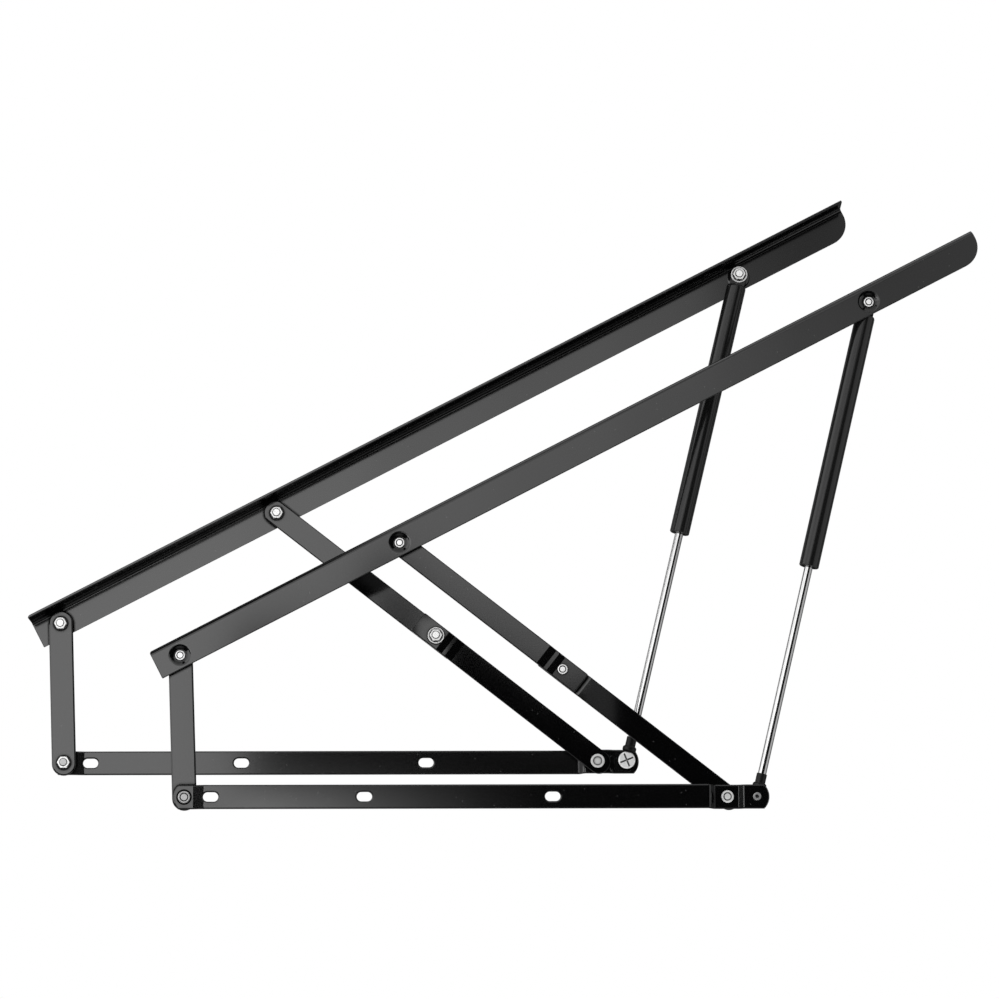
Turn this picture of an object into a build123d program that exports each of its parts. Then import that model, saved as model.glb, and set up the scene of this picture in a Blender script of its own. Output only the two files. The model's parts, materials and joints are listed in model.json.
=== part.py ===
from build123d import *
import math
import os

# Pair of bed lift mechanisms, a right-hand and a left-hand unit, shown open (bed raised).
# Each unit: a base bar for the bed's side panel, a rear link, an L-section rail that carries
# the mattress base, a folding stay of two bars and a gas strut. Millimetres, +X to the foot of
# the bed, +Z up. Depth is counted inward from the unit's mounting plane, which is Y = 0 on the
# right-hand unit. The origin lies in that plane, midway between the two outer slots.

# Linkage, seen from the side, measured from the rear base pivot
rear_link_length = 168.0
rear_link_open_angle = 92.3
rail_open_angle = 27.4
rail_stay_pitch = 291.0
rail_strut_pitch = 921.0
base_stay_pitch = 637.0
stay_strut_gap = 34.5
closed_height = 115.0

# Pair: where the left-hand unit stands beside the right-hand one
pair_spacing = 90.0
pair_shift = -151.5
pair_lift = 50.2

# Steel sections
sheet = 3.0
bar = 4.0
play = 0.3
pin_play = 0.05
bend_radius = 2.5
through = 80.0
overshoot = 1.0

# Base bar
base_height = 28.5
base_end_radius = 20.0
base_rear_reach = 13.0
base_front_reach = 14.5
slot_length = 18.0
slot_width = 11.0
slot_places = (31.3, 211.7, 432.3)
rear_joggle_start = 10.4
rear_joggle_run = 13.4
rear_recess_radius = 9.2
rear_recess_floor_radius = 7.8
rear_recess_depth = 0.9
stay_joggle_start = 15.6
stay_joggle_run = 6.0
foot_joggle_start = 13.2
foot_joggle_run = 6.5
foot_joggle_step = 2.8

# Rail
rail_head_reach = 31.0
rail_foot_reach = 150.0
rail_above = 21.0
rail_below = 15.2
flange_width = 40.0
rail_bend_radius = 4.0
rail_foot_radius = 26.0
rail_corner_radius = 4.0
flange_corner_radius = 1.2
flange_hole_places = (57.0, 261.0, 885.0)
flange_hole_radius = 3.0
dimple_radius = 12.2
dimple_floor_radius = 7.8
dimple_depth = 2.3
dimple_rim_bend = 7.0
dimple_foot_bend = 4.0

# Rear link and stay bars
link_width = 29.0
link_end_reach = 15.5
link_end_radius = 14.4
stay_width = 27.2
stay_end_reach = 15.5
stay_end_radius = 12.5
knee_reach = 28.0
knee_corner_radius = 2.5
upper_knee_flat = 6.0
lower_knee_flat = 10.0
knee_near_run = 8.5
knee_near_step = 0.75
knee_rest = 4.8
knee_far_run = 9.5
knee_joggle_step = 2.0

# Fasteners
pin_radius = 4.0
head_radius = 5.8
head_height = 2.1
head_dish_radius = 4.4
head_edge = 0.8
base_head_radius = 7.2
base_head_dish_radius = 5.2
head_groove_width = 1.3
head_groove_depth = 1.2
head_middle_drop = 0.3
nut_across = 13.0
nut_height = 4.6
nut_washer_radius = 8.5
nut_washer_thickness = 1.0
bolt_tail = 1.4
rivet_head_radius = 7.3
rivet_head_height = 2.6
rivet_head_edge = 1.0
rivet_head_dish_radius = 4.9
rivet_ring_radius = 8.2
rivet_ring_height = 2.4
rivet_ring_edge = 0.6
rivet_ring_dish_radius = 5.6
rivet_ring_dish_slope = 0.5
rivet_ring_dish_depth = 1.4
large_washer_radius = 9.8
large_washer_thickness = 1.6
cap_head_radius = 10.0
cap_head_height = 3.2
cap_head_edge = 1.2
cross_length = 16.5
cross_width = 1.8
cross_depth = 1.3
cross_turn = 22.0
stud_end_radius = 4.7
stud_end_height = 1.8
stud_end_edge = 0.6
stud_socket_radius = 2.4
stud_socket_depth = 1.2

# Gas strut
cylinder_radius = 11.75
cylinder_rail_gap = 0.7
cylinder_wall = 1.5
cylinder_length = 313.5
cylinder_top_gap = 13.0
cylinder_shoulder = 3.4
cylinder_shoulder_inset = 3.0
cylinder_crown = 1.4
cylinder_crown_inset = 0.9
cylinder_rim = 1.0
cylinder_throat_gap = 2.0
cylinder_plug = 6.0
cylinder_lip = 1.5
rod_radius = 5.0
rod_spigot_radius = 3.0
rod_spigot_length = 9.0
piston_length = 8.0
piston_overlap = 25.0
gland_length = 16.0
rod_eye_radius = 9.0
rod_eye_thickness = 9.0
socket_collar_rise = 2.0
socket_collar_edge = 1.5
socket_collar_radius = 8.2
socket_collar_start = 12.5
socket_collar_end = 17.5
socket_neck_radius = 6.1
socket_neck_end = 28.5
tongue_width = 18.0
tongue_thickness = 6.0
spacer_radius = 7.0


def polar(length, angle):
    """Step of a length at an angle from +X towards +Z, as (x, z)."""
    return length * math.cos(math.radians(angle)), length * math.sin(math.radians(angle))


def plus(point, step):
    return point[0] + step[0], point[1] + step[1]


def angle_between(start, end):
    return math.degrees(math.atan2(end[1] - start[1], end[0] - start[0]))


# Pivots of the open unit, as (x, z) from the rear base pivot
rear_base = (0.0, 0.0)
stay_base = (base_stay_pitch, 0.0)
strut_base = (base_stay_pitch + stay_strut_gap, 0.0)
rear_rail = polar(rear_link_length, rear_link_open_angle)
stay_rail = plus(rear_rail, polar(rail_stay_pitch, rail_open_angle))
strut_rail = plus(rear_rail, polar(rail_strut_pitch, rail_open_angle))
stay_reach = math.dist(stay_rail, stay_base)
stay_angle = angle_between(stay_rail, stay_base)
bar_length = stay_reach / 2
knee = plus(stay_rail, polar(bar_length, stay_angle))
strut_length = math.dist(strut_base, strut_rail)
strut_angle = angle_between(strut_base, strut_rail)

# Depths inward from the mounting plane: each named face is the outer face of its layer
rail_floor = dimple_depth
link_face = rail_floor + sheet + play
base_rear_face = link_face - play - sheet
rear_recess_face = base_rear_face + rear_recess_depth
upper_knee_face = link_face + knee_joggle_step
lower_face = upper_knee_face + bar + play
lower_knee_face = lower_face + knee_joggle_step
base_stay_face = lower_face - play - sheet
base_foot_face = base_stay_face - foot_joggle_step
strut_depth = link_face - play + cylinder_radius + cylinder_rail_gap
eye_face = strut_depth - rod_eye_thickness / 2
tongue_face = strut_depth - tongue_thickness / 2


def joggled_strip(stations, thickness, height):
    """Bent strip along X: its outer face passes the stations (x, depth) and its height is on Z."""
    half = thickness / 2
    middle = [(x, face + half) for x, face in stations]
    edges = []
    for side in (-1, 1):
        points = []
        radii = []
        for i, (x, depth) in enumerate(middle):
            if i in (0, len(middle) - 1):
                points.append((x, depth + side * half))
                continue
            before = math.atan2(depth - middle[i - 1][1], x - middle[i - 1][0])
            after = math.atan2(middle[i + 1][1] - depth, middle[i + 1][0] - x)
            turn = after - before
            shift = half / math.cos(turn / 2)
            normal = (before + after) / 2 + math.pi / 2
            points.append((x + side * shift * math.cos(normal), depth + side * shift * math.sin(normal)))
            inside = side * turn > 0
            radii.append(bend_radius if inside else bend_radius + thickness)
        edges.append(FilletPolyline(*points, radius=radii) if radii else Line(*points))
    near, far = edges
    ends = Line(near @ 0, far @ 0) + Line(near @ 1, far @ 1)
    return extrude(make_face(near + far + ends), height / 2, both=True)


def plate_cutter(outline):
    """Prism through all depths with an outline drawn in X and Z."""
    return extrude(Plane.XZ * outline, through, both=True)


def round_ended(start, end, width, start_radius, end_radius):
    """Outline of a strip from start to end along X, with a corner radius at each end."""
    face = Pos((start + end) / 2, 0) * Rectangle(end - start, width)
    face = fillet(face.vertices().group_by(Axis.X)[0], start_radius)
    return fillet(face.vertices().group_by(Axis.X)[-1], end_radius)


def lathe(points):
    """Solid turned about the Y axis from a closed outline of (radius, depth) points."""
    return revolve(make_face(Polyline(*points, close=True)), Axis.Y)


def disc(radius, start, end, bore=0.0):
    """Round plate about the Y axis between two depths, with an optional bore."""
    solid = lathe([(0, start), (radius, start), (radius, end), (0, end)])
    return solid - disc(bore, start - overshoot, end + overshoot) if bore else solid


def pin_hole(x=0.0):
    """Cutter through all depths for a pin's hole."""
    return Pos(x, 0, 0) * disc(pin_radius + pin_play, -through, through)


def at(pivot, solid, angle=0.0):
    """Place a solid made along +X at a pivot, turned by an angle from +X towards +Z."""
    return Pos(pivot[0], 0, pivot[1]) * Rot(0, -angle, 0) * solid


def head_middle(top, dish):
    """Outline of a head's middle: a low boss inside a ring groove, out to the groove's rim."""
    boss = dish - head_groove_width
    return [(0, top + head_middle_drop), (boss, top + head_middle_drop), (boss, top + head_groove_depth),
            (dish, top + head_groove_depth), (dish, top)]


def button_bolt(face, radius, dish, tail):
    """Low round head on an outer face, grooved round its middle, and its shank up to a depth."""
    top = face - head_height
    return lathe(head_middle(top, dish) +
                 [(radius - head_edge, top), (radius, top + head_edge), (radius, face),
                  (pin_radius, face), (pin_radius, tail), (0, tail)])


def hex_nut(face):
    """Hexagon nut on an inner face with its corners turned off, and a bore for the pin."""
    corner = nut_across / math.sqrt(3)
    blank = extrude(Plane.XZ * RegularPolygon(corner, 6), nut_height)
    blank = Pos(0, face + nut_height, 0) * blank
    bevel = corner - nut_across / 2
    turned = lathe([(0, face), (corner, face), (corner, face + nut_height - bevel),
                    (corner - bevel, face + nut_height), (0, face + nut_height)])
    return blank & turned - pin_hole()


def base_bar():
    start = -base_rear_reach
    end = strut_base[0] + base_front_reach
    stay_bend = stay_base[0] - stay_joggle_start
    foot_bend = stay_base[0] + foot_joggle_start
    strip = joggled_strip([(start, base_rear_face), (rear_joggle_start, base_rear_face),
                           (rear_joggle_start + rear_joggle_run, 0.0),
                           (stay_bend - stay_joggle_run, 0.0), (stay_bend, base_stay_face),
                           (foot_bend, base_stay_face),
                           (foot_bend + foot_joggle_run, base_foot_face), (end, base_foot_face)],
                          sheet, base_height)
    middle = (start + end) / 2
    outline = Pos(middle, 0) * Rectangle(end - start, base_height)
    for crown, side in ((start, 1), (end, -1)):
        limit = Pos(crown + side * base_end_radius, 0) * Circle(base_end_radius)
        inner = Pos(crown + side * (base_end_radius + end - start), 0)
        limit += inner * Rectangle(2 * (end - start), 2 * base_height)
        outline &= limit
    solid = strip & plate_cutter(outline)
    for place in slot_places:
        solid -= plate_cutter(Pos(place, 0) * SlotOverall(slot_length, slot_width))
    near = base_rear_face - overshoot
    solid -= lathe([(0, near), (rear_recess_radius, near), (rear_recess_radius, base_rear_face),
                    (rear_recess_floor_radius, rear_recess_face), (0, rear_recess_face)])
    for pivot in (rear_base, stay_base, strut_base):
        solid -= pin_hole(pivot[0])
    return solid


def rear_link():
    outline = round_ended(-link_end_reach, rear_link_length + link_end_reach, link_width,
                          link_end_radius, link_end_radius)
    strip = joggled_strip([(-link_end_reach, link_face), (rear_link_length + link_end_reach, link_face)],
                          bar, link_width)
    return strip & plate_cutter(outline) - pin_hole() - pin_hole(rear_link_length)


def dimple_side(shift, near, deep):
    """Half outline of a dimple, its rim and foot rounded, on a surface of the sheet.

    The surface lies at the depth shift, and the outline is closed towards near and deep.
    """
    slope = math.atan2(dimple_depth, dimple_radius - dimple_floor_radius)
    rim = dimple_radius + dimple_rim_bend * math.tan(slope / 2)
    foot = dimple_floor_radius - dimple_foot_bend * math.tan(slope / 2)

    def foot_arc(angle):
        reach = dimple_foot_bend + shift
        return (foot + reach * math.sin(angle), dimple_depth - dimple_foot_bend + reach * math.cos(angle))

    def rim_arc(angle):
        reach = dimple_rim_bend - shift
        return (rim - reach * math.sin(angle), dimple_rim_bend - reach * math.cos(angle))

    side = ThreePointArc(foot_arc(0), foot_arc(slope / 2), foot_arc(slope))
    side += Line(foot_arc(slope), rim_arc(slope))
    side += ThreePointArc(rim_arc(slope), rim_arc(slope / 2), rim_arc(0))
    side += Polyline(rim_arc(0), (rim, near), (0, near), (0, deep), foot_arc(0))
    return revolve(make_face(side), Axis.Y)


def rail():
    start = -rail_head_reach
    end = rail_strut_pitch + rail_foot_reach
    middle = (rail_above - rail_below) / 2
    height = rail_above + rail_below
    length = end - start
    section = Polyline((0, -rail_below), (0, rail_above), (flange_width, rail_above),
                       (flange_width, rail_above - sheet), (sheet, rail_above - sheet),
                       (sheet, -rail_below), close=True)
    section = make_face(section)
    corner = section.vertices().sort_by(Axis.X).group_by(Axis.X)[0].sort_by(Axis.Y)[-1]
    section = fillet(corner, rail_bend_radius + sheet)
    inner = section.vertices().sort_by_distance((sheet, rail_above - sheet))[0]
    section = fillet(inner, rail_bend_radius)
    angle_bar = extrude(Plane.YZ * section, length)
    angle_bar = Pos(start, 0, 0) * angle_bar
    outline = Pos((start + end) / 2, middle) * Rectangle(length, height)
    outline = fillet(outline.vertices().group_by(Axis.Y)[0].sort_by(Axis.X)[-1], rail_foot_radius)
    outline = fillet(outline.vertices().group_by(Axis.X)[0].sort_by(Axis.Y)[-1], rail_corner_radius)
    solid = angle_bar & plate_cutter(outline)
    plan = Pos((start + end) / 2, 0) * Rectangle(length, 2 * flange_width)
    plan = fillet(plan.vertices(), flange_corner_radius)
    solid &= extrude(plan, through, both=True)
    swell = dimple_side(sheet, sheet / 2, rail_floor + sheet)
    dish = dimple_side(0, -overshoot, rail_floor)
    for pitch in (0.0, rail_stay_pitch, rail_strut_pitch):
        solid = solid + Pos(pitch, 0, 0) * swell - Pos(pitch, 0, 0) * dish - pin_hole(pitch)
    flange_middle = (flange_width + sheet) / 2
    for place in flange_hole_places:
        drill = Cylinder(flange_hole_radius, 2 * sheet + 2 * overshoot)
        solid -= Pos(place, flange_middle, rail_above) * drill
    return solid


def stay_bar(main_face, knee_face, knee_flat):
    """Stay bar from its end pivot at X = 0 to its knee pivot, where it steps twice in depth.

    The flat at the knee starts knee_flat before the knee pivot.
    """
    outline = round_ended(-stay_end_reach, bar_length + knee_reach, stay_width,
                          stay_end_radius, knee_corner_radius)
    rest_face = knee_face - knee_near_step
    near_end = bar_length - knee_flat
    near_start = near_end - knee_near_run
    far_end = near_start - knee_rest
    strip = joggled_strip([(-stay_end_reach, main_face), (far_end - knee_far_run, main_face),
                           (far_end, rest_face), (near_start, rest_face), (near_end, knee_face),
                           (bar_length + knee_reach, knee_face)], bar, stay_width)
    return strip & plate_cutter(outline) - pin_hole() - pin_hole(bar_length)


def rear_base_bolt():
    tail = link_face + bar + play + nut_washer_thickness + nut_height + bolt_tail
    return button_bolt(rear_recess_face, base_head_radius, base_head_dish_radius, tail)


def pivot_bolt():
    tail = link_face + bar + play + nut_washer_thickness + nut_height + bolt_tail
    return button_bolt(rail_floor, head_radius, head_dish_radius, tail)


def nut_washer():
    face = link_face + bar + play
    return disc(nut_washer_radius, face, face + nut_washer_thickness, pin_radius + pin_play)


def pivot_nut():
    return hex_nut(link_face + bar + play + nut_washer_thickness)


def stay_base_rivet():
    """Rivet with a round head outside and a formed ring head inside."""
    top = base_stay_face - rivet_head_height
    ring = lower_face + bar + play
    ring_top = ring + rivet_ring_height
    ring_floor = ring_top - rivet_ring_dish_depth
    return lathe(head_middle(top, rivet_head_dish_radius) +
                 [(rivet_head_radius - rivet_head_edge, top),
                  (rivet_head_radius, top + rivet_head_edge), (rivet_head_radius, base_stay_face),
                  (pin_radius, base_stay_face), (pin_radius, ring), (rivet_ring_radius, ring),
                  (rivet_ring_radius, ring_top - rivet_ring_edge),
                  (rivet_ring_radius - rivet_ring_edge, ring_top), (rivet_ring_dish_radius, ring_top),
                  (rivet_ring_dish_radius - rivet_ring_dish_slope, ring_floor), (0, ring_floor)])


def strut_base_bolt():
    """Shoulder bolt of the strut: wide low head with a cross inside, riveted end outside."""
    head = eye_face + rod_eye_thickness + play
    top = head + cap_head_height
    end = base_foot_face - stud_end_height
    solid = lathe([(0, end), (stud_end_radius - stud_end_edge, end), (stud_end_radius, end + stud_end_edge),
                   (stud_end_radius, base_foot_face), (pin_radius, base_foot_face), (pin_radius, head),
                   (cap_head_radius, head), (cap_head_radius, top - cap_head_edge),
                   (cap_head_radius - cap_head_edge, top), (0, top)])
    hexagon = extrude(Plane.XZ * RegularPolygon(stud_socket_radius, 6), stud_socket_depth)
    solid -= Pos(0, end + stud_socket_depth, 0) * hexagon
    for turn in (cross_turn, cross_turn + 90):
        groove = Box(cross_length, 2 * cross_depth, cross_width)
        solid -= Pos(0, top, 0) * Rot(0, -turn, 0) * groove
    return solid


def strut_base_washer():
    return disc(nut_washer_radius, base_foot_face + sheet, eye_face - play, pin_radius + pin_play)


def knee_bolt():
    return button_bolt(upper_knee_face, head_radius, head_dish_radius, upper_knee_face + bar)


def knee_spacer():
    return disc(nut_washer_radius, lower_face, lower_knee_face, pin_radius + pin_play)


def knee_bolt_end():
    washer = lower_knee_face + bar + large_washer_thickness
    return disc(pin_radius, lower_face, washer + nut_height + bolt_tail)


def knee_washer():
    face = lower_knee_face + bar
    return disc(large_washer_radius, face, face + large_washer_thickness, pin_radius + pin_play)


def knee_nut():
    return hex_nut(lower_knee_face + bar + large_washer_thickness)


def strut_rail_bolt():
    return button_bolt(rail_floor, head_radius, head_dish_radius, tongue_face - play)


def strut_spacer():
    return disc(spacer_radius, rail_floor + sheet, tongue_face - play, pin_radius + pin_play)


def along_strut(outline):
    """Solid turned about the strut's own axis from (radius, distance along the strut) points."""
    turned = revolve(make_face(Polyline(*outline, close=True)), Axis.Y)
    return Pos(0, strut_depth, 0) * Rot(0, 0, -90) * turned


mouth = strut_length - cylinder_top_gap - cylinder_length
cylinder_top = strut_length - cylinder_top_gap
bore_radius = cylinder_radius - cylinder_wall
bore_start = mouth + cylinder_lip
bore_end = cylinder_top - cylinder_plug
piston_seat = mouth + piston_overlap


def strut_cylinder():
    """Painted tube closed at its top, its rim rolled in at the mouth."""
    throat = rod_radius + cylinder_throat_gap
    shoulder = cylinder_radius - cylinder_shoulder_inset
    return along_strut([(throat, mouth), (cylinder_radius - cylinder_rim, mouth),
                        (cylinder_radius, mouth + cylinder_rim),
                        (cylinder_radius, cylinder_top - cylinder_shoulder),
                        (cylinder_radius - cylinder_crown_inset, cylinder_top - cylinder_crown),
                        (shoulder, cylinder_top),
                        (0, cylinder_top), (0, bore_end), (bore_radius, bore_end),
                        (bore_radius, bore_start), (throat, bore_start)])


def rod_gland():
    """Guide and seal of the rod, held behind the rolled rim."""
    slide = rod_radius + pin_play
    return along_strut([(slide, bore_start), (bore_radius, bore_start),
                        (bore_radius, bore_start + gland_length), (slide, bore_start + gland_length)])


def piston_rod():
    spigot = socket_neck_end - rod_spigot_length
    return along_strut([(0, spigot), (rod_spigot_radius, spigot), (rod_spigot_radius, socket_neck_end),
                        (rod_radius, socket_neck_end), (rod_radius, piston_seat), (0, piston_seat)])


def piston():
    outer = bore_radius - pin_play
    return along_strut([(0, piston_seat), (outer, piston_seat), (outer, piston_seat + piston_length),
                        (0, piston_seat + piston_length)])


def rod_socket():
    """Black end socket: an eye round the base bolt, a collar and a neck screwed on the rod."""
    eye = disc(rod_eye_radius, eye_face, eye_face + rod_eye_thickness)
    web = Pos(socket_collar_start / 2, strut_depth, 0)
    web *= Box(socket_collar_start, rod_eye_thickness, 2 * socket_neck_radius)
    start = socket_collar_start - socket_collar_rise
    turned = along_strut([(0, start), (socket_neck_radius, start),
                          (socket_collar_radius, socket_collar_start),
                          (socket_collar_radius, socket_collar_end - socket_collar_edge),
                          (socket_collar_radius - socket_collar_edge, socket_collar_end),
                          (socket_neck_radius, socket_collar_end), (socket_neck_radius, socket_neck_end),
                          (0, socket_neck_end)])
    bore_floor = socket_neck_end - rod_spigot_length - pin_play
    bore_mouth = socket_neck_end + overshoot
    bore = along_strut([(0, bore_floor), (rod_spigot_radius + pin_play, bore_floor),
                        (rod_spigot_radius + pin_play, bore_mouth), (0, bore_mouth)])
    return eye + web + turned - bore - pin_hole()


def strut_tongue():
    """Flattened eye welded on the cylinder's top, made along +X from its own pivot."""
    outline = SlotCenterPoint((cylinder_top_gap / 2, 0), (cylinder_top_gap, 0), tongue_width)
    outline &= Rectangle(2 * cylinder_top_gap, tongue_width)
    plate = extrude(Plane.XZ * outline, -tongue_thickness)
    return Pos(0, tongue_face, 0) * plate - pin_hole()


def strut_eye_bolt():
    washer = tongue_face + tongue_thickness + large_washer_thickness
    return disc(pin_radius, tongue_face, washer + nut_height + bolt_tail)


def strut_eye_washer():
    face = tongue_face + tongue_thickness
    return disc(large_washer_radius, face, face + large_washer_thickness, pin_radius + pin_play)


def strut_eye_nut():
    return hex_nut(tongue_face + tongue_thickness + large_washer_thickness)


def both(first, second, solid):
    """The same fastener at two pivots, as two separate solids."""
    return Compound(children=[at(first, solid), at(second, solid)])


upper_angle = stay_angle
lower_angle = stay_angle + 180
pieces = {
    "base_bar": base_bar(),
    "rear_base_bolt": at(rear_base, rear_base_bolt()),
    "rear_base_washer": at(rear_base, nut_washer()),
    "rear_base_nut": at(rear_base, pivot_nut()),
    "stay_base_rivet": at(stay_base, stay_base_rivet()),
    "strut_base_bolt": at(strut_base, strut_base_bolt()),
    "strut_base_washer": at(strut_base, strut_base_washer()),
    "rear_link": at(rear_base, rear_link(), rear_link_open_angle),
    "rail": at(rear_rail, rail(), rail_open_angle),
    "rail_pivot_bolts": both(rear_rail, stay_rail, pivot_bolt()),
    "rail_pivot_washers": both(rear_rail, stay_rail, nut_washer()),
    "rail_pivot_nuts": both(rear_rail, stay_rail, pivot_nut()),
    "strut_rail_bolt": at(strut_rail, strut_rail_bolt()),
    "strut_spacer": at(strut_rail, strut_spacer()),
    "upper_stay": at(stay_rail, stay_bar(link_face, upper_knee_face, upper_knee_flat), upper_angle),
    "knee_bolt": at(knee, knee_bolt()),
    "lower_stay": at(stay_base, stay_bar(lower_face, lower_knee_face, lower_knee_flat), lower_angle),
    "knee_spacer": at(knee, knee_spacer()),
    "knee_bolt_end": at(knee, knee_bolt_end()),
    "knee_washer": at(knee, knee_washer()),
    "knee_nut": at(knee, knee_nut()),
    "piston_rod": at(strut_base, piston_rod(), strut_angle),
    "piston": at(strut_base, piston(), strut_angle),
    "rod_socket": at(strut_base, rod_socket(), strut_angle),
    "strut_cylinder": at(strut_base, strut_cylinder(), strut_angle),
    "rod_gland": at(strut_base, rod_gland(), strut_angle),
    "strut_tongue": at(strut_rail, strut_tongue(), strut_angle + 180),
    "strut_eye_bolt": at(strut_rail, strut_eye_bolt()),
    "strut_eye_washer": at(strut_rail, strut_eye_washer()),
    "strut_eye_nut": at(strut_rail, strut_eye_nut()),
}

slot_middle = (slot_places[0] + slot_places[-1]) / 2
right_place = Pos(-slot_middle, 0, 0)
left_place = Pos(pair_shift - slot_middle, pair_spacing, pair_lift)

os.makedirs("parts", exist_ok=True)
for name, solid in pieces.items():
    export_step(right_place * solid, f"parts/right_{name}.step")
    export_step(left_place * mirror(solid, Plane.XZ), f"parts/left_{name}.step")

# How far each joint turns or slides from open to closed, for the record
rear_link_closed_angle = math.degrees(math.asin(closed_height / rear_link_length))
rear_closed = polar(rear_link_length, rear_link_closed_angle)
stay_closed = plus(rear_closed, (rail_stay_pitch, 0))
strut_closed = plus(rear_closed, (rail_strut_pitch, 0))
closed_reach = math.dist(stay_closed, stay_base)
fold = math.degrees(math.acos(closed_reach / stay_reach))
closed_line = angle_between(stay_closed, stay_base)
link_turn = rear_link_open_angle - rear_link_closed_angle
upper_turn = (stay_angle - (closed_line - fold)) - rail_open_angle
lower_turn = (stay_angle + 180) - (closed_line + 180 + fold)
strut_turn = strut_angle - angle_between(strut_base, strut_closed)
strut_travel = strut_length - math.dist(strut_base, strut_closed)
print("pivots", rear_rail, stay_rail, strut_rail, knee, "strut", strut_length, strut_angle)
print("turns: link", link_turn, "rail", rail_open_angle - link_turn, "upper", upper_turn)
print("lower", lower_turn, "strut", strut_turn, "travel", strut_travel)
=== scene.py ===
import json
import math

import bmesh
import bpy
from mathutils import Matrix, Vector

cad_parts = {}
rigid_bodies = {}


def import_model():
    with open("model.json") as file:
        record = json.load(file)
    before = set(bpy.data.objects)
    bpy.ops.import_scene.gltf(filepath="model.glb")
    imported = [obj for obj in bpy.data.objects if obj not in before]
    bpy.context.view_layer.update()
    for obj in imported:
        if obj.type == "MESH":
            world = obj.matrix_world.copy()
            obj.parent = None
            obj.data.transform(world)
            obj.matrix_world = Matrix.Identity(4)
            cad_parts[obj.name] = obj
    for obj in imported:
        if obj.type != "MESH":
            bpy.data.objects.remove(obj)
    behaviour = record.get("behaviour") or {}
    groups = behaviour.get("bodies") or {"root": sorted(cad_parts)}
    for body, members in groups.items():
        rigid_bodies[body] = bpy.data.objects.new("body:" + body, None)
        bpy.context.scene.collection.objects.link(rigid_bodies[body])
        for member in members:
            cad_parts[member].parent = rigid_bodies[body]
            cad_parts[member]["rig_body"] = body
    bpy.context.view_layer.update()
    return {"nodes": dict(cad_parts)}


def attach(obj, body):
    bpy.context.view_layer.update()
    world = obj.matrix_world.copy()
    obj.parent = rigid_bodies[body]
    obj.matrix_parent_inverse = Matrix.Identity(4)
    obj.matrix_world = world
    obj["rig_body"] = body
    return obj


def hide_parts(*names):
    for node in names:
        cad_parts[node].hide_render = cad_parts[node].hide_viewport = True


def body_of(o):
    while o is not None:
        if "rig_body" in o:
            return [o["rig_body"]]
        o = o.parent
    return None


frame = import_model()


# Base bars: flat mild steel strips with joggled ends and oval slots, screwed to the bed's
# side panels. Pressed, deburred and powder coated in satin black, as all bars of the set are.
sides = ("right", "left")
node_pitch = 220


def fill(tree, node, values):
    """Sets a node's inputs to numbers, or links them to sockets."""
    for key, value in values.items():
        if isinstance(value, bpy.types.NodeSocket):
            tree.links.new(value, node.inputs[key])
        else:
            node.inputs[key].default_value = value


def add_node(tree, kind, settings, values):
    """New shader node, to the right of the others, with its settings and inputs."""
    node = tree.nodes.new(kind)
    node.location = (node_pitch * len(tree.nodes), 0)
    for key, value in settings.items():
        setattr(node, key, value)
    fill(tree, node, values)
    return node


def computed(tree, operation, *terms, clamp=False):
    """Result of a Math node on numbers or sockets."""
    node = add_node(tree, "ShaderNodeMath", {"operation": operation, "use_clamp": clamp},
                    dict(enumerate(terms)))
    return node.outputs[0]


def new_group(name, inputs):
    """Empty shader node group, and the sockets inside it that give its named inputs."""
    tree = bpy.data.node_groups.new(name, "ShaderNodeTree")
    for label, (kind, value) in inputs.items():
        socket = tree.interface.new_socket(label, in_out="INPUT", socket_type=kind)
        socket.default_value = value
    return tree, add_node(tree, "NodeGroupInput", {}, {}).outputs


def close_group(tree, results):
    """Gives a group its named outputs, each fed by a socket."""
    for label, (kind, _) in results.items():
        tree.interface.new_socket(label, in_out="OUTPUT", socket_type=kind)
    add_node(tree, "NodeGroupOutput", {}, {label: socket for label, (_, socket) in results.items()})


NUMBER = "NodeSocketFloat"
COLOUR = "NodeSocketColor"
VECTOR = "NodeSocketVector"

# Effect: sheared and deburred edges are round, and their coat is thinner and paler there
edges, given = new_group("rounded edges", {"Radius": (NUMBER, 0.0005), "Strength": (NUMBER, 6.0)})
rounded = add_node(edges, "ShaderNodeBevel", {"samples": 6}, {"Radius": given["Radius"]})
surface = add_node(edges, "ShaderNodeNewGeometry", {}, {})
agree = add_node(edges, "ShaderNodeVectorMath", {"operation": "DOT_PRODUCT"},
                 {0: rounded.outputs["Normal"], 1: surface.outputs["Normal"]})
differ = computed(edges, "SUBTRACT", 1.0, agree.outputs["Value"])
mask = computed(edges, "MULTIPLY", differ, given["Strength"], clamp=True)
close_group(edges, {"Normal": (VECTOR, rounded.outputs["Normal"]), "Edge": (NUMBER, mask)})

# Effect: a sprayed or plated skin varies a little in gloss and shade and has a fine relief
skin, given = new_group(
    "fine skin",
    {"Colour": (COLOUR, (0.02, 0.02, 0.02, 1)), "Colour Spread": (NUMBER, 0.3),
     "Roughness": (NUMBER, 0.3), "Roughness Spread": (NUMBER, 0.1),
     "Patch Scale": (NUMBER, 60.0), "Grain Scale": (NUMBER, 900.0)})
place = add_node(skin, "ShaderNodeTexCoord", {}, {}).outputs["Object"]
patches = add_node(skin, "ShaderNodeTexNoise", {},
                   {"Vector": place, "Scale": given["Patch Scale"], "Detail": 5.0,
                    "Roughness": 0.6})
grain = add_node(skin, "ShaderNodeTexNoise", {},
                 {"Vector": place, "Scale": given["Grain Scale"], "Detail": 2.0})
centred = computed(skin, "SUBTRACT", patches.outputs["Fac"], 0.5)
shade = computed(skin, "MULTIPLY_ADD", centred, given["Colour Spread"], 1.0)
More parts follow.
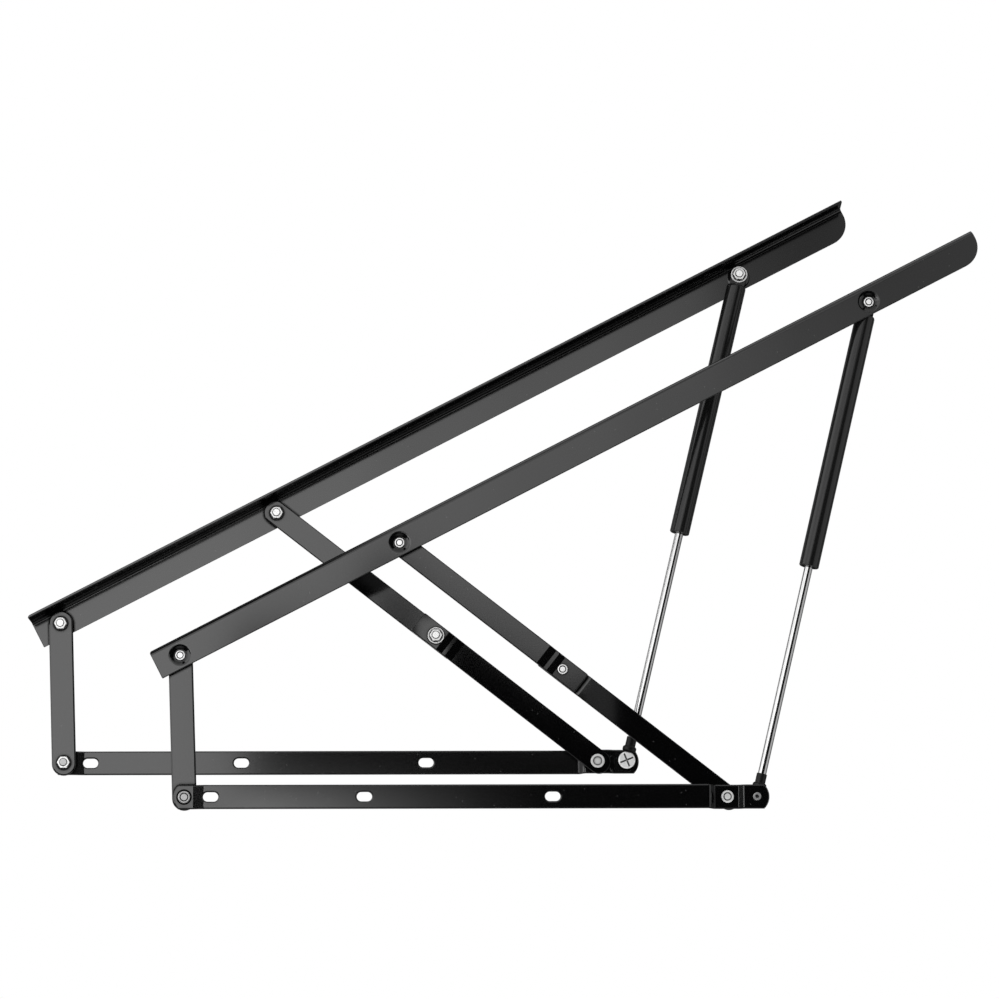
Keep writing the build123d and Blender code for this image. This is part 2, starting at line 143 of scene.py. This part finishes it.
toned = add_node(skin, "ShaderNodeVectorMath", {"operation": "SCALE"},
                 {0: given["Colour"], "Scale": shade})
rough = computed(skin, "MULTIPLY_ADD", centred, given["Roughness Spread"], given["Roughness"],
                 clamp=True)
close_group(skin, {"Colour": (COLOUR, toned.outputs[0]), "Roughness": (NUMBER, rough),
                   "Height": (NUMBER, grain.outputs["Fac"])})

# Effect: sparse specks, where dust fell into the wet coat or settled on the finished part
specks, given = new_group(
    "dust specks",
    {"Scale": (NUMBER, 160.0), "Size": (NUMBER, 0.12), "Share": (NUMBER, 0.2)})
place = add_node(specks, "ShaderNodeTexCoord", {}, {}).outputs["Object"]
cells = add_node(specks, "ShaderNodeTexVoronoi", {}, {"Vector": place, "Scale": given["Scale"]})
pick = add_node(specks, "ShaderNodeSeparateColor", {}, {"Color": cells.outputs["Color"]})
near = computed(specks, "LESS_THAN", cells.outputs["Distance"], given["Size"])
chosen = computed(specks, "LESS_THAN", pick.outputs[0], given["Share"])
mask = computed(specks, "MULTIPLY", near, chosen)
close_group(specks, {"Mask": (NUMBER, mask)})

# Effect: grooves and dished middles hold dirt and dark residue of the plating or paint bath.
# The same ambient occlusion mask also darkens every place close to another part, as painted
# shade: contact shadow where the parts meet or overhang.
clean_unshaded_opening = 0.9
grimy_shaded_opening = 0.78
recess, given = new_group("grime and painted shade in recesses", {"Reach": (NUMBER, 0.002)})
opening = add_node(recess, "ShaderNodeAmbientOcclusion", {"samples": 8}, {"Distance": given["Reach"]})
mask = add_node(recess, "ShaderNodeMapRange", {},
                {"Value": opening.outputs["AO"], "From Min": clean_unshaded_opening, "From Max": grimy_shaded_opening})
close_group(recess, {"Mask": (NUMBER, mask.outputs["Result"])})

lacquer_ior = 1.79
# The recess mask lays this near black over a finish: grime, and painted shade close to other parts.
grime_and_shade_colour = (0.002, 0.002, 0.002)


def laid_over(tree, below, colour, mask):
    """Colour below, covered by another one where the mask is 1."""
    mix = add_node(tree, "ShaderNodeMix", {"data_type": "RGBA"},
                   {"Factor": mask, "A": below, "B": (*colour, 1)})
    return mix.outputs["Result"]


def coated(name, colour, edge_colour, speck_colour, roughness, spread, metallic, specular,
           edge_radius, grain_scale, grain_depth, speck_share, recess_reach=0.0, gloss=0.0):
    """Material of paint, plating or plastic, with rounded edges, fine grain and specks.

    A recess_reach darkens its recesses and the places close to other parts, as grime and as
    painted shade, and a gloss adds a clear coat that this painted shade takes away there.
    """
    material = bpy.data.materials.new(name)
    material.use_nodes = True
    tree = material.node_tree
    edge = add_node(tree, "ShaderNodeGroup", {"node_tree": edges}, {"Radius": edge_radius})
    base = add_node(tree, "ShaderNodeGroup", {"node_tree": skin},
                    {"Colour": (*colour, 1), "Roughness": roughness, "Roughness Spread": spread,
                     "Grain Scale": grain_scale})
    dust = add_node(tree, "ShaderNodeGroup", {"node_tree": specks}, {"Share": speck_share})
    relief = add_node(tree, "ShaderNodeBump", {},
                      {"Distance": grain_depth, "Height": base.outputs["Height"],
                       "Normal": edge.outputs["Normal"]})
    finish = laid_over(tree, base.outputs["Colour"], edge_colour, edge.outputs["Edge"])
    finish = laid_over(tree, finish, speck_colour, dust.outputs["Mask"])
    clear_coat = 0.0
    # Grime and painted shade: near other parts and in hollows the colour goes darker and the clear
    # coat goes away, as painted contact shadow.
    if recess_reach:
        grime_and_shade = add_node(tree, "ShaderNodeGroup", {"node_tree": recess}, {"Reach": recess_reach})
        finish = laid_over(tree, finish, grime_and_shade_colour, grime_and_shade.outputs["Mask"])
        if gloss:
            clear_coat = computed(tree, "MULTIPLY_ADD", grime_and_shade.outputs["Mask"], -gloss, gloss)
    fill(tree, tree.nodes["Principled BSDF"],
         {"Base Color": finish, "Metallic": metallic, "Roughness": base.outputs["Roughness"],
          "Specular IOR Level": specular, "Coat Weight": clear_coat, "Coat Roughness": roughness,
          "Coat IOR": lacquer_ior, "Normal": relief.outputs["Normal"]})
    return material


def dress(name, material, wearers=sides):
    """Gives a carried-over piece of each unit its finish."""
    for side in wearers:
        for slot in frame["nodes"][f"{side}_{name}"].material_slots:
            slot.material = material


merge_reach = 0.000001
flat_turn = math.radians(0.5)
sharp_turn = math.radians(50.0)
rounding_steps = 3


def finished_copy(name, material, edge_radius, smooth_turn):
    """Stands in for a carried-over piece of each unit.

    It is merged, smooth shaded up to smooth_turn in degrees, and its sharp edges are rounded.
    """
    for side in sides:
        node = frame["nodes"][f"{side}_{name}"]
        mesh = node.data.copy()
        work = bmesh.new()
        work.from_mesh(mesh)
        bmesh.ops.remove_doubles(work, verts=work.verts, dist=merge_reach)
        bmesh.ops.dissolve_limit(work, angle_limit=flat_turn, verts=work.verts, edges=work.edges)
        for face in work.faces:
            face.smooth = True
        for edge in work.edges:
            edge.smooth = edge.is_manifold and edge.calc_face_angle() < math.radians(smooth_turn)
        work.to_mesh(mesh)
        work.free()
        mesh.materials.clear()
        mesh.materials.append(material)
        piece = bpy.data.objects.new(f"{side}_finished_{name}", mesh)
        bpy.context.scene.collection.objects.link(piece)
        if edge_radius:
            rounding = piece.modifiers.new("rounded edges", "BEVEL")
            rounding.width = edge_radius
            rounding.segments = rounding_steps
            rounding.limit_method = "ANGLE"
            rounding.angle_limit = sharp_turn
            rounding.use_clamp_overlap = False
        shading = piece.modifiers.new("flat faces stay flat", "WEIGHTED_NORMAL")
        shading.keep_sharp = True
        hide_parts(f"{side}_{name}")
        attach(piece, body_of(node)[0])


# The recess reach and the gloss paint shade on the black coats: close to other parts their clear coat
# goes away, as painted contact shadow.
powder_coat = {
    "colour": (0.001, 0.001, 0.0011), "edge_colour": (0.006, 0.006, 0.006),
    "speck_colour": (0.03, 0.03, 0.03), "metallic": 0.0, "specular": 0.02,
    "edge_radius": 0.0005, "grain_scale": 700.0, "speck_share": 0.2,
    "recess_reach": 0.005, "gloss": 1.0}
black_coat = coated("satin black powder coat", roughness=0.12, spread=0.03,
                    grain_depth=0.00001, **powder_coat)
finished_copy("base_bar", black_coat, edge_radius=0.0016, smooth_turn=10.0)


# Rear links: plain strips with rounded ends, coated as the base bars, one for each unit.
# Each turns on a bolt at the base bar's rear end and carries the rail's rear end.
finished_copy("rear_link", black_coat, edge_radius=0.0018, smooth_turn=30.0)
# The photograph shows each unit by itself, so the near link isn't mirrored in the far base bar
bpy.data.objects["right_finished_rear_link"].visible_glossy = False


# Rails: L-section, roll formed from 3 mm sheet, with a dimple pressed at each pivot so that
# the bolt heads stay below the face. The flange carries the mattress base.
finished_copy("rail", black_coat, edge_radius=0.0007, smooth_turn=45.0)


# Stays: two bars each, joggled beside the knee, so that they fold past one another. They are
# cut from the rear links' kind of strip, and the coat of the lower ones is smoother.
finished_copy("upper_stay", black_coat, edge_radius=0.0012, smooth_turn=10.0)
smooth_coat = coated("smoother black coat of the lower stays", roughness=0.05, spread=0.02,
                     grain_depth=0.000003, **powder_coat)
finished_copy("lower_stay", smooth_coat, edge_radius=0.0012, smooth_turn=10.0)


# Bolts, nuts and rivets: cold headed steel, zinc plated. Most are bright, the rivets are
# a little greyer, and the bolts of the rear base pivots and one of a strut are worn dull.
# The recess reach darkens the plating in grooves, in dished middles and close to other parts: partly
# grime, partly painted shade.
zinc_skin = {
    "roughness": 0.3, "spread": 0.12, "specular": 0.5, "edge_radius": 0.0004,
    "grain_scale": 1500.0, "grain_depth": 0.000012, "speck_share": 0.1, "recess_reach": 0.0036}
bright_zinc = coated("bright zinc plating", colour=(0.95, 0.95, 0.945), edge_colour=(1.0, 1.0, 1.0),
                     speck_colour=(0.4, 0.4, 0.38), metallic=0.45, **zinc_skin)
rivet_zinc = coated("plated rivets", colour=(0.75, 0.75, 0.745), edge_colour=(0.95, 0.95, 0.95),
                    speck_colour=(0.3, 0.3, 0.29), metallic=0.45, **zinc_skin)
worn_zinc = coated("worn zinc", colour=(0.45, 0.45, 0.45), edge_colour=(0.6, 0.6, 0.6),
                   speck_colour=(0.2, 0.2, 0.19), metallic=0.7, **zinc_skin)
for fastener in ("rear_base_nut", "rail_pivot_bolts", "rail_pivot_nuts", "strut_rail_bolt",
                 "strut_eye_bolt", "strut_eye_washer", "strut_eye_nut",
                 "knee_bolt", "knee_bolt_end", "knee_washer", "knee_nut"):
    dress(fastener, bright_zinc)
dress("strut_base_bolt", bright_zinc, ("left",))
dress("strut_base_bolt", worn_zinc, ("right",))
dress("rear_base_bolt", worn_zinc)
dress("stay_base_rivet", rivet_zinc)


# Washers and spacers between the moving bars: moulded from black nylon, so that the bars
# don't wear away each other's coat. They sit loose on the bolts.
black_nylon = coated("black nylon", colour=(0.005, 0.005, 0.005), edge_colour=(0.015, 0.015, 0.015),
                     speck_colour=(0.03, 0.03, 0.03), roughness=0.34, spread=0.08, metallic=0.0,
                     specular=0.3, edge_radius=0.0005, grain_scale=900.0, grain_depth=0.00002,
                     speck_share=0.1)
for ring in ("rear_base_washer", "rail_pivot_washers", "strut_base_washer", "knee_spacer"):
    dress(ring, black_nylon)


# Gas struts: a painted seamless tube with a flattened tongue on top, and a hard chromed rod
# with its piston, its nylon guide and a nylon socket at its foot. A painted steel spacer on
# the upper bolt keeps each strut clear of its rail.
strut_black = coated("strut paint", colour=(0.005, 0.005, 0.005), edge_colour=(0.012, 0.012, 0.012),
                     speck_colour=(0.03, 0.03, 0.03), roughness=0.2, spread=0.04, metallic=0.0,
                     specular=0.65, edge_radius=0.0, grain_scale=1100.0, grain_depth=0.000003,
                     speck_share=0.12)
rod_chrome = coated("hard chrome", colour=(0.8, 0.8, 0.8), edge_colour=(0.8, 0.8, 0.8),
                    speck_colour=(0.6, 0.6, 0.6), roughness=0.1, spread=0.03, metallic=1.0,
                    specular=0.5, edge_radius=0.0, grain_scale=1500.0, grain_depth=0.0000002,
                    speck_share=0.0)
turned_steel = coated("turned steel", colour=(0.45, 0.45, 0.44), edge_colour=(0.55, 0.55, 0.54),
                      speck_colour=(0.2, 0.2, 0.2), roughness=0.35, spread=0.1, metallic=1.0,
                      specular=0.5, edge_radius=0.0003, grain_scale=900.0, grain_depth=0.00001,
                      speck_share=0.1)
finished_copy("strut_cylinder", strut_black, edge_radius=0.0, smooth_turn=35.0)
finished_copy("piston_rod", rod_chrome, edge_radius=0.0, smooth_turn=35.0)
dress("strut_tongue", strut_black)
dress("piston", turned_steel)
dress("rod_gland", black_nylon)
dress("rod_socket", black_nylon)
dress("strut_spacer", black_coat)


# Floor: a plain pale sheet below the lowest reach of the folded stays. A camera below it
# looks through it.
floor_height = -0.2
floor_half = 6.0
mesh = bpy.data.meshes.new("floor")
work = bmesh.new()
bmesh.ops.create_grid(work, x_segments=1, y_segments=1, size=floor_half,
                      matrix=Matrix.Translation((0, 0, floor_height)))
work.to_mesh(mesh)
work.free()
floor = bpy.data.objects.new("floor", mesh)
bpy.context.scene.collection.objects.link(floor)
paper = bpy.data.materials.new("pale floor")
paper.use_nodes = True
paper_nodes = paper.node_tree
shader = paper_nodes.nodes["Principled BSDF"]
fill(paper_nodes, shader,
     {"Base Color": (0.86, 0.86, 0.86, 1), "Roughness": 0.9, "Specular IOR Level": 0.1,
      "Emission Color": (1, 1, 1, 1), "Emission Strength": 0.6})
geometry = add_node(paper_nodes, "ShaderNodeNewGeometry", {}, {})
rays = add_node(paper_nodes, "ShaderNodeLightPath", {}, {})
from_below = computed(paper_nodes, "MULTIPLY", geometry.outputs["Backfacing"],
                      rays.outputs["Is Camera Ray"])
clear = add_node(paper_nodes, "ShaderNodeBsdfTransparent", {}, {})
mixed = add_node(paper_nodes, "ShaderNodeMixShader", {},
                 {0: from_below, 1: shader.outputs[0], 2: clear.outputs[0]})
fill(paper_nodes, paper_nodes.nodes["Material Output"], {"Surface": mixed.outputs[0]})
mesh.materials.append(paper)
floor.visible_glossy = False


# Light: soft panels in front of the set, which its satin coat mirrors. The bars are grey where
# a panel shows in them and black where none does. One more panel stands at each side and two
# hang above.
def soft_box(name, middle, aim, width, height, radiance):
    """Rectangular lamp at a place, turned to a point, of a plain radiance over its face."""
    light = bpy.data.lights.new(name, "AREA")
    light.shape = "RECTANGLE"
    light.size = width
    light.size_y = height
    light.energy = radiance * math.pi * width * height
    lamp = bpy.data.objects.new(name, light)
    facing = (Vector(aim) - Vector(middle)).to_track_quat("-Z", "Y").to_matrix().to_4x4()
    lamp.matrix_world = Matrix.Translation(middle) @ facing
    bpy.context.scene.collection.objects.link(lamp)


# Front panels: left, right, lowest and highest edge in metres, then the radiance. The lowest
# edges step down to the right, so that the stays turn from grey to black at their knees.
front_distance = 1.6
main_panels = (
    (-1.6, -0.8, 0.35, 0.8, 1.3), (-0.8, -0.7, 0.3, 0.8, 1.65), (-0.7, -0.3, 0.05, 0.8, 1.65),
    (-0.3, -0.1, 0.44, 0.88, 1.5), (-0.1, -0.02, 0.545, 0.95, 1.2), (-0.02, 0.03, 0.5, 0.95, 1.2),
    (0.03, 0.06, 0.465, 0.95, 1.2), (0.06, 0.09, 0.44, 0.95, 1.15), (0.09, 0.12, 0.415, 1.1, 1.1),
    (0.12, 0.15, 0.395, 1.1, 1.03), (0.15, 0.18, 0.37, 1.1, 1.03), (0.18, 0.24, 0.347, 1.1, 1.03),
    (0.24, 0.3, 0.375, 1.1, 1.03), (0.3, 0.45, 0.6, 1.15, 0.86), (0.45, 0.56, 0.68, 0.94, 0.7),
    (0.45, 0.56, 0.94, 1.22, 0.35), (0.56, 0.7, 0.75, 0.99, 0.55), (0.56, 0.7, 0.99, 1.3, 0.25),
    (0.7, 1.1, 0.85, 1.5, 0.43))
# These two show in the flats beside the knee bolts
knee_panels = ((-0.024, 0.025, 0.405, 0.48, 1.3), (0.242, 0.29, 0.29, 0.365, 0.2))
# These stand above the main ones and show in bolt heads and rounded edges
high_panels = (
    (-1.6, -0.3, 0.8, 2.1, 0.9), (-0.3, 0.0, 0.95, 2.1, 0.8), (0.0, 0.3, 1.1, 2.1, 0.8),
    (0.3, 0.56, 1.22, 2.1, 0.7), (0.56, 1.1, 1.5, 2.1, 0.6))
# The first shows in the slopes of the joggles, the others in the near base bar, which fades
# to black to the right
low_panels = (
    (-0.8, -0.7, 0.05, 0.3, 4.5), (-0.3, -0.22, 0.05, 0.188, 2.3), (-0.22, -0.14, 0.05, 0.188, 1.7),
    (-0.14, -0.08, 0.05, 0.188, 1.1), (-0.08, -0.02, 0.05, 0.188, 0.75),
    (-0.02, 0.06, 0.05, 0.188, 0.38), (0.06, 0.14, 0.05, 0.188, 0.1))
for number, (left, right, low, high, radiance) in enumerate(
        main_panels + knee_panels + high_panels + low_panels):
    x = (left + right) / 2
    z = (low + high) / 2
    soft_box(f"front panel {number}", middle=(x, -front_distance, z), aim=(x, 0.0, z),
             width=right - left, height=high - low, radiance=radiance)
soft_box("left panel", middle=(-1.6, -0.6, 0.9), aim=(0.2, -0.6, 0.9), width=2.0, height=2.4,
         radiance=1.2)
soft_box("right panel", middle=(1.2, -0.3, 0.4), aim=(0.2, -0.3, 0.4), width=0.8, height=2.0,
         radiance=0.45)
soft_box("top strip", middle=(0.2, 0.2, 2.2), aim=(0.2, 0.1, 0.3), width=2.2, height=0.9,
         radiance=1.0)
soft_box("front ceiling", middle=(0.2, -0.95, 2.3), aim=(0.2, -0.95, 0.0), width=2.4, height=1.3,
         radiance=0.5)


# Studio: white to the camera. The gloss of the parts mirrors a white sheet straight behind
# them, greyer strips at both sides and the floor, and a dark room between these.
world = bpy.data.worlds.new("white sheet in a dark studio")
bpy.context.scene.world = world
world.use_nodes = True
room = world.node_tree
rays = add_node(room, "ShaderNodeLightPath", {}, {})
direction = add_node(room, "ShaderNodeTexCoord", {}, {})
parts = add_node(room, "ShaderNodeSeparateXYZ", {}, {"Vector": direction.outputs["Generated"]})


def fade(axis, start, full, least=0.0, most=1.0):
    """Strength from least to most, as one part of a ray's direction goes from start to full."""
    ramp = add_node(room, "ShaderNodeMapRange", {},
                    {"Value": parts.outputs[axis], "From Min": start, "From Max": full,
                     "To Min": least, "To Max": most})
    return ramp.outputs["Result"]


dark_room = 0.005
plain_light = 0.55
sheet = computed(room, "MULTIPLY", fade("Y", 0.93, 0.98), fade("Z", -0.05, 0.05, least=0.03))
left_strip = computed(room, "MULTIPLY", fade("X", -0.35, -0.5, most=0.25), fade("Y", -0.1, 0.0))
right_strip = computed(room, "MULTIPLY", fade("X", 0.35, 0.5, most=0.12), fade("Y", 0.0, 0.1))
studio_floor = fade("Z", -0.55, -0.75, most=0.3)
mirrored = dark_room
for lit in (sheet, left_strip, right_strip, studio_floor):
    mirrored = computed(room, "ADD", mirrored, lit)
shiny = computed(room, "MAXIMUM", rays.outputs["Is Glossy Ray"], rays.outputs["Is Transmission Ray"])
strength = add_node(room, "ShaderNodeMix", {"data_type": "FLOAT"},
                    {"Factor": shiny, "A": plain_light, "B": mirrored})
seen = computed(room, "MAXIMUM", rays.outputs["Is Camera Ray"], strength.outputs[0])
fill(room, room.nodes["Background"], {"Color": (1, 1, 1, 1), "Strength": seen})


# Camera: a long lens five metres away, below the base bars, which looks up at the raised
# rails from almost straight in front.
camera_turn = math.radians(1.0)
camera_rise = math.radians(-10.33)
camera_distance = 5.0
camera_target = Vector((0.1382, 0.0, 0.3531))
sight = Vector((-math.sin(camera_turn) * math.cos(camera_rise),
                math.cos(camera_turn) * math.cos(camera_rise), -math.sin(camera_rise)))
lens = bpy.data.cameras.new("camera")
lens.lens = 152.0
lens.sensor_width = 36.0
lens.clip_end = 50.0
camera = bpy.data.objects.new("camera", lens)
camera.matrix_world = (Matrix.Translation(camera_target - camera_distance * sight)
                       @ sight.to_track_quat("-Z", "Y").to_matrix().to_4x4())
bpy.context.scene.collection.objects.link(camera)
bpy.context.scene.camera = camera
bpy.context.scene.view_settings.view_transform = "Standard"
